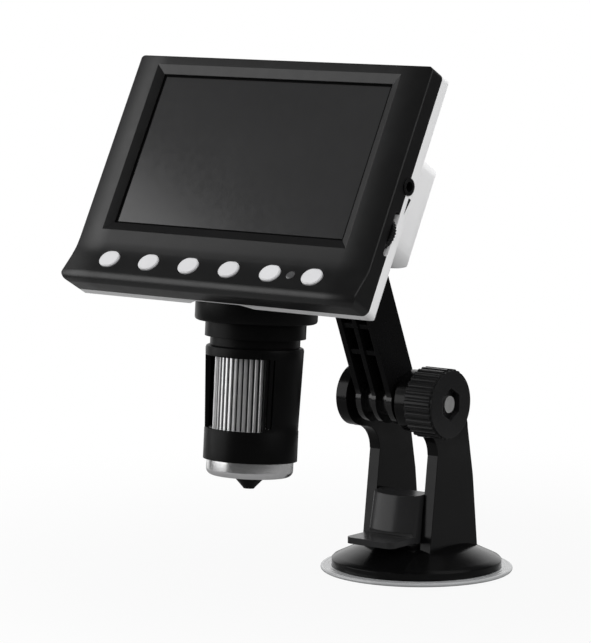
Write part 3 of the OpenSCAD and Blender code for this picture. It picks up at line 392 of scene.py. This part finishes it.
# In a Mix node of colours, the share is input 0, and the two colours are inputs 6 and 7.
# The groove colour, 0.03, is painted shade, not a colour of the wheel itself.
plating_with_painted_groove_shade = step(tree, "Mix", {0: crest, 6: (0.03, 0.03, 0.031, 1), 7: bright}, data_type="RGBA")
tree.links.new(plating_with_painted_groove_shade.outputs[2], shader.inputs["Base Color"])
set_gloss(tree, shader, where, scale=500, low=0.3, high=0.36)
shader.inputs["Metallic"].default_value = 0.85
dress(wheel_silver, "focus_wheel")
print("barrel leans", round(math.degrees(barrel_tilt), 2), "degrees")

# %% [markdown]
# ## The dark display
# The display is off, so it reads as one dark sheet with a soft reflection. We could build real glass over
# a black panel, but the two surfaces would only cost render time: a dark glossy face looks the same.

# %% Display cover
screen_cover, tree, shader, where = new_finish("screen_cover")
set_tones(tree, shader, where, scale=30, dark=(0.024, 0.024, 0.0245), light=(0.028, 0.028, 0.0285))
set_gloss(tree, shader, where, scale=400, low=0.12, high=0.16)
dress(screen_cover, "screen_glass")
display_panel = moulded("display_panel", (0.01, 0.01, 0.011), (0.014, 0.014, 0.015), (0.3, 0.4))
dress(display_panel, "lcd_panel")

# %% [markdown]
# ## What lies inside
# Boards, cell and LEDs hardly show, but someone may take the casing off. Each could have a finish of its
# own kind, but their usual colours in the moulded finish are enough: green boards, a blue cell wrap, and
# frosted LEDs, diffuser and lens. The indicator in the chin does show. It's off, so it's smoked and glossy.

# %% Inner parts and indicator
board_green = moulded("board_green", (0.01, 0.09, 0.03), (0.015, 0.12, 0.045), (0.35, 0.5))
dress(board_green, "main_board", "key_board", "sensor_board", "light_board")
cell_wrap = moulded("cell_wrap", (0.02, 0.08, 0.22), (0.03, 0.1, 0.27), (0.25, 0.35))
dress(cell_wrap, "battery_cell")
frosted = moulded("frosted", (0.75, 0.77, 0.78), (0.8, 0.82, 0.83), (0.4, 0.5))
dress(frosted, "light_diffuser", "ring_leds", "objective_lens")
smoked_lens = moulded("smoked_lens", (0.05, 0.05, 0.052), (0.09, 0.09, 0.092), (0.12, 0.2), 1500, 0.004)
dress(smoked_lens, "indicator_light")

# %% [markdown]
# ## Milky vinyl
# The suction pad is clear vinyl gone milky. Real see-through vinyl over a pale floor renders slowly and
# looks grey all the same, so we make it an opaque grey with a wet-looking coat and a slow, wavy bump.

# %% Vinyl
milky_vinyl, tree, shader, where = new_finish("milky_vinyl")
set_tones(tree, shader, where, scale=50, dark=(0.34, 0.345, 0.35), light=(0.42, 0.425, 0.43))
set_gloss(tree, shader, where, scale=300, low=0.2, high=0.3)
grain(tree, shader, noise(tree, where, scale=120), depth_mm=0.05, strength=0.3)
shader.inputs["Coat Weight"].default_value = 0.4
shader.inputs["Coat Roughness"].default_value = 0.12
print("finishes so far:", len(bpy.data.materials))

# %% [markdown]
# ## The shape of the suction pad
# The pad is one soft disc: a dished underside, a thin lip that shows round the foot, and a thick middle
# that the lever pulls up. A plain disc would do from above, but the lip's rolled edge and shallow rings
# catch the light. So we draw half of its section, in millimetres, radius first and height second.

# %% Section of the pad
pad_radius, _, pad_height = (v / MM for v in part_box("suction_pad")[1])
pad_sink = -joints["plunger_lift"]["range_m"][0] / MM
hollow = pad_sink + 0.05
LIP, LIP_EDGE = 1.4, 0.7
MIDDLE_RADIUS, HOLLOW_RADIUS, TABLE_RADIUS = 6, 8.4, 17.8
STEP_RADIUS, TOP_RADIUS = 27.9, 17.4
RING_COUNT, RING_POINTS, RING_HEIGHT, RING_DEPTH = 4, 4, 0.06, 0.09


def lip_rings(first, last):
    """Shallow rings on the upper side of the lip, from one radius to another."""
    count = RING_COUNT * RING_POINTS
    for k in range(count + 1):
        share = k / count
        wave = RING_HEIGHT * math.cos(2 * math.pi * RING_COUNT * share)
        yield first + (last - first) * share, LIP - RING_DEPTH + wave


def dish_curve(inner, outer, height, steps=10):
    """The smooth hollow underneath, from its full height down to the table."""
    for k in range(steps + 1):
        share = k / steps
        yield inner + (outer - inner) * share, height * 0.5 * (1 + math.cos(math.pi * share))


def rolled_edge(steps=8):
    """The lip's round outer edge, from the table up."""
    for k in range(1, steps):
        a = math.pi * k / steps
        yield pad_radius - LIP_EDGE + LIP_EDGE * math.sin(a), LIP / 2 * (1 - math.cos(a))


step_wall = [(STEP_RADIUS, LIP + 0.1), (STEP_RADIUS, LIP + 0.7), (STEP_RADIUS - 0.3, LIP + 0.95)]
shoulder = [(26.5, LIP + 1.3), (22, LIP + 2.75)]
flat_top = [(TOP_RADIUS + 1, pad_height - 0.3), (TOP_RADIUS, pad_height - 0.08),
            (TOP_RADIUS - 0.9, pad_height), (0, pad_height)]
section = [(0, hollow), (MIDDLE_RADIUS, hollow), *dish_curve(HOLLOW_RADIUS, TABLE_RADIUS, pad_sink),
           *rolled_edge(), *lip_rings(pad_radius - 1.1, STEP_RADIUS + 0.5), *step_wall, *shoulder, *flat_top]
print("pad", round(pad_radius, 1), "mm in radius,", round(pad_height, 1), "mm high,", len(section), "points")

# %% [markdown]
# ## A small lathe
# A lathe is the natural tool for a round shape. Blender's Screw modifier could turn the section, but by
# default it leaves a heap of points on one spot where the section meets the axis. So a loop places ring
# after ring of points, and a fan of triangles closes the middle above and below.

# %% Turn a section round the upright axis
def turned(name, points, finish, segments=128):
    """A solid of revolution about the upright axis. Its section starts and ends on the axis."""
    mesh = bpy.data.meshes.new(name)
    body = bmesh.new()
    bottom = body.verts.new((0, 0, points[0][1] * MM))
    top = body.verts.new((0, 0, points[-1][1] * MM))
    angles = [2 * math.pi * k / segments for k in range(segments)]
    rings = [[body.verts.new((r * MM * math.cos(a), r * MM * math.sin(a), z * MM)) for a in angles]
             for r, z in points[1:-1]]
    for k in range(segments):
        after = (k + 1) % segments
        body.faces.new((bottom, rings[0][after], rings[0][k]))
        body.faces.new((top, rings[-1][k], rings[-1][after]))
        for inner, outer in zip(rings, rings[1:]):
            body.faces.new((inner[k], inner[after], outer[after], outer[k]))
    for face in body.faces:
        face.smooth = True
    bmesh.ops.recalc_face_normals(body, faces=body.faces)
    body.to_mesh(mesh)
    body.free()
    mesh.materials.append(finish)
    piece = bpy.data.objects.new(name, mesh)
    bpy.context.scene.collection.objects.link(piece)
    return piece


# %% [markdown]
# ## The suction pad on its stand
# The turned pad takes the place of the plain solid. It can't slide with the plunger, because its lip
# stays on the table. So it rides on the stand, and its hollow underneath is as deep as the plunger sinks.

# %% Suction pad
pad = turned("vinyl_pad", section, milky_vinyl)
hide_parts("suction_pad")
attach(pad, "stand")
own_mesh(pad)
print("pad faces:", len(pad.data.polygons))

# %% [markdown]
# ## Work in the head's own frame
# The next two pieces lie on the tilted head, where upright and level mean little. The dimmer wheel turns
# about the direction in which the face looks, so its joint gives us that direction. Two more make a
# frame: across the face, and up along it.

# %% The head's frame
out_head = Vector(joints["dimmer_turn"]["axis"]).normalized()
across_head = Vector((1, 0, 0))
up_head = out_head.cross(across_head)


def spans(node, *axes):
    """The lowest and highest place of a node's points along each axis."""
    points = [corner.co for corner in solids[node].data.vertices]
    return [(min(p.dot(axis) for p in points), max(p.dot(axis) for p in points)) for axis in axes]


def head_piece(name, finish, corners, faces):
    """A black mesh given in the head's own frame (across, up, out), riding on the head."""
    mesh = bpy.data.meshes.new(name)
    mesh.from_pydata([across_head * a + up_head * b + out_head * c for a, b, c in corners], [], faces)
    mesh.materials.append(finish)
    mesh.update()
    piece = bpy.data.objects.new(name, mesh)
    bpy.context.scene.collection.objects.link(piece)
    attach(piece, "head")
    return piece


print("the face leans back", round(math.degrees(math.asin(out_head.z)), 1), "degrees")

# %% [markdown]
# ## A painted shade line round the display
# Between the display cover and the bevel of its opening lies a thin gap in shade. We could darken the rim of
# the glass by its finish, but a strip also catches a shadow and stays right from the side. So we lay a
# narrow, nearly black frame on the glass as painted shade.

# %% Painted shade round the display
SHADE_STRIP_WIDE, SHADE_STRIP_THICK = 0.7 * MM, 0.25 * MM
GLASS_LAP, TUCK, LIFT = 1.8 * MM, 0.05 * MM, 0.02 * MM
glass_across, glass_up, (_, glass_face) = spans("screen_glass", across_head, up_head, out_head)
left, right = glass_across[0] + GLASS_LAP, glass_across[1] - GLASS_LAP
bottom, top = glass_up[0] + GLASS_LAP, glass_up[1] - GLASS_LAP
# This near black is painted shade. It stands for the shaded gap round the glass.
painted_gap_shade = moulded("painted_gap_shade", (0.001, 0.001, 0.001), (0.002, 0.002, 0.002), (0.6, 0.7), 2500, 0.02,
                       0.03)


def frame_corners(inset, out):
    """Four corners of the opening, drawn in by inset, at one height above the glass."""
    x0, x1, y0, y1 = left + inset, right - inset, bottom + inset, top - inset
    return [(x0, y0, out), (x1, y0, out), (x1, y1, out), (x0, y1, out)]


under_side = glass_face + LIFT
upper_side = under_side + SHADE_STRIP_THICK
corners = [corner for inset, out in ((-TUCK, under_side), (-TUCK, upper_side),
                                     (SHADE_STRIP_WIDE, upper_side), (SHADE_STRIP_WIDE, under_side))
           for corner in frame_corners(inset, out)]
faces = [(4 * r + k, 4 * r + (k + 1) % 4, 4 * ((r + 1) % 4) + (k + 1) % 4, 4 * ((r + 1) % 4) + k)
         for r in range(4) for k in range(4)]
head_piece("display_painted_shade_strip", painted_gap_shade, corners, faces)
print("painted shade strip round", round((right - left) / MM, 2), "by", round((top - bottom) / MM, 2), "mm")

# %% [markdown]
# ## The brightness wedge
# Beside the small dimmer wheel the casing carries a printed wedge, thick at the bright end and thin at
# the dim end. It's ink, so it has almost no height. A painted mask would need its own coordinates, so
# we cut one thin wedge and let it sit on the wall.

# %% Brightness wedge
WEDGE_LONG, WEDGE_WIDE, WEDGE_SKEW = 5.8 * MM, 1.3 * MM, 0.1 * MM
BELOW_SOCKET, BEHIND_FRONT = 0.3 * MM, 1.9 * MM
INK, SINK = 0.05 * MM, 0.02 * MM
(socket_low, _), = spans("power_jack", up_head)
(_, wall_front), = spans("rear_casing", out_head)
wall_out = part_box("rear_casing")[1][0]
wedge_top, wedge_front = socket_low - BELOW_SOCKET, wall_front - BEHIND_FRONT
outline = [(wedge_top, wedge_front), (wedge_top - WEDGE_LONG, wedge_front - WEDGE_SKEW),
           (wedge_top, wedge_front - WEDGE_WIDE)]
ink_black = moulded("ink_black", (0.01, 0.01, 0.01), (0.014, 0.014, 0.014), (0.5, 0.6), 3000, 0.003, 0.2)
corners = [(x, up, out) for x in (wall_out - SINK, wall_out + INK) for up, out in outline]
faces = [(0, 2, 1), (3, 4, 5), (0, 1, 4, 3), (1, 2, 5, 4), (2, 0, 3, 5)]
head_piece("brightness_wedge", ink_black, corners, faces)
print("wedge on the wall at x =", round(wall_out / MM, 2), "mm")

# %% [markdown]
# ## A white floor that keeps its shadow
# The object stands on a pale sheet. Lighting the sheet until it burns out would wash out the black
# plastic too. So the sheet lights nothing: it's white only to rays that come from the camera, pass
# through something clear, or come from a mirror that looks far out. Close to the foot it's a touch greyer:
# a painted shadow that fades with distance, with a little of the real shadow showing through it.

# %% Finish of the floor
SHEET_RADIUS, MIRRORED_FROM = 0.32, 0.27
SHADOW_START, SHADOW_END, SHADOW_LEVEL = 0.06, 0.3, 0.93


def combined(tree, operation, first, *others):
    """Joins values by one Math operation: MAXIMUM is 1 where any of them is, MULTIPLY where all are."""
    for other in others:
        first = step(tree, "Math", {0: first, 1: other}, operation=operation).outputs[0]
    return first


pale_sheet, tree, shader, where = new_finish("pale_sheet")
set_tones(tree, shader, where, scale=2, dark=(0.24, 0.24, 0.24), light=(0.26, 0.26, 0.26))
shader.inputs["Roughness"].default_value = 0.8
shader.inputs["Specular IOR Level"].default_value = 0.1
reach = step(tree, "VectorMath", {0: where}, operation="LENGTH").outputs["Value"]
rays = tree.nodes.new("ShaderNodeLightPath").outputs
# A painted shadow: near the middle the white share drops to 0.93, whatever the lamps do.
shadow = ramped(tree, reach, SHADOW_START, SHADOW_END, SHADOW_LEVEL, 1.0, "SMOOTHSTEP")
direct = combined(tree, "MAXIMUM", rays["Is Camera Ray"], rays["Is Transmission Ray"])
far_out = ramped(tree, reach, MIRRORED_FROM, SHEET_RADIUS, interpolation="SMOOTHSTEP")
white_share = combined(tree, "MAXIMUM", combined(tree, "MULTIPLY", direct, shadow),
                       combined(tree, "MULTIPLY", rays["Is Glossy Ray"], far_out))
glow = tree.nodes.new("ShaderNodeEmission").outputs[0]
mix = step(tree, "MixShader", {0: white_share, 1: shader.outputs[0], 2: glow})
tree.links.new(mix.outputs[0], tree.nodes["Material Output"].inputs["Surface"])
print("the sheet is fully white from", SHADOW_END, "m, and greyest within", SHADOW_START, "m of its middle")

# %% [markdown]
# ## The sheet itself
# A long roll of paper would need to curve up behind the object. The room already gives us the backdrop,
# so a small disc under the object is enough, and a disc has no corners that could show in a mirror. It
# lies a hair lower than the foot, so that the two never fight for the same place.

# %% Floor sheet
SHEET_DROP = 0.2 * MM
sheet_mesh = bpy.data.meshes.new("floor_sheet")
disc = bmesh.new()
bmesh.ops.create_circle(disc, cap_ends=True, radius=SHEET_RADIUS, segments=96)
disc.to_mesh(sheet_mesh)
disc.free()
sheet_mesh.materials.append(pale_sheet)
floor = bpy.data.objects.new("floor_sheet", sheet_mesh)
floor.location.z = -SHEET_DROP
bpy.context.scene.collection.objects.link(floor)
print("floor sheet", round(2 * SHEET_RADIUS, 2), "m across")

# %% [markdown]
# ## The white backdrop
# The camera sees white paper all round. Glossy black shows whatever stands round it, and a white room
# would turn it grey. So mirrors see white only in a wide cone behind the object, as with one roll of
# paper in a dim room.

# %% Backdrop
OBJECT_MIDDLE = Vector((0, -0.09, 0.15))
BACKDROP_EDGE, BACKDROP_FULL = 0.6, 0.86
view_axis = (OBJECT_MIDDLE - camera.location).normalized()
world = bpy.data.worlds.new("white_room")
bpy.context.scene.world = world
world.use_nodes = True
tree = world.node_tree
rays = tree.nodes.new("ShaderNodeLightPath").outputs
direction = tree.nodes.new("ShaderNodeTexCoord").outputs["Generated"]
towards = step(tree, "VectorMath", {0: direction, 1: view_axis}, operation="DOT_PRODUCT").outputs["Value"]
backdrop = ramped(tree, towards, BACKDROP_EDGE, BACKDROP_FULL, interpolation="SMOOTHSTEP")
shown = combined(tree, "MAXIMUM", rays["Is Camera Ray"], rays["Is Transmission Ray"],
                 combined(tree, "MULTIPLY", rays["Is Glossy Ray"], backdrop))
print("the backdrop is centred on", [round(v, 2) for v in view_axis])

# %% [markdown]
# ## A tent of soft light
# The same world also lights the object. An even white would do, but it would light the undersides as
# brightly as the top. So for soft light it's a tent, brighter above than below: white plastic looks
# white, and undersides stay shaded. What mirrors see beside the backdrop is one dim grey.

# %% Tent and dim room
TENT_LOW, TENT_HIGH, TENT_BELOW = -0.15, 0.1, 0.2
DIM_ROOM = 0.06
height = step(tree, "SeparateXYZ", {0: direction}).outputs["Z"]
tent = ramped(tree, height, TENT_LOW, TENT_HIGH, TENT_BELOW, 1.0, "SMOOTHSTEP")
# In a Mix node of numbers, the share is input 0, and the two numbers are inputs 2 and 3.
unseen = step(tree, "Mix", {0: rays["Is Glossy Ray"], 2: tent, 3: DIM_ROOM}, data_type="FLOAT").outputs[0]
level = step(tree, "Mix", {0: shown, 2: unseen, 3: 1.0}, data_type="FLOAT").outputs[0]
room = tree.nodes["Background"]
room.inputs["Color"].default_value = (1, 1, 1, 1)
tree.links.new(level, room.inputs["Strength"])
print("from below the tent gives", TENT_BELOW, "of its light, and mirrors see", DIM_ROOM, "in the dim room")

# %% [markdown]
# ## Three softboxes
# The big left softbox is the one that draws the shapes: its reflection lies on the face of the casing,
# on the bevels and down the left of the barrel. The other two only lift the top and the right side. One
# big lamp overhead would do for white, but it would flatten the black parts. All three are weak enough
# for the white casing to keep its shading from every side.

# %% Lamps
LAMP_TARGET = Vector((0, -0.1, 0.15))
SOFTBOXES = {
    # name: (place, size, brightness of its face)
    "left_softbox": ((-0.70, -0.63, 0.34), (1.0, 0.74), 2.15),
    "top_softbox": ((0.25, 0.2, 1.1), (0.8, 0.8), 0.45),
    "right_softbox": ((1.0, 0.1, 0.7), (0.9, 0.7), 1.35),
}
for name, (place, (wide, tall), brightness) in SOFTBOXES.items():
    light = bpy.data.lights.new(name, "AREA")
    light.shape = "RECTANGLE"
    light.size, light.size_y = wide, tall
    light.energy = brightness * math.pi * wide * tall
    lamp = bpy.data.objects.new(name, light)
    bpy.context.scene.collection.objects.link(lamp)
    lamp.location = place
    lamp.rotation_mode = "QUATERNION"
    lamp.rotation_quaternion = (LAMP_TARGET - Vector(place)).to_track_quat("-Z", "Y")
    print(name, round(light.energy, 2), "W")
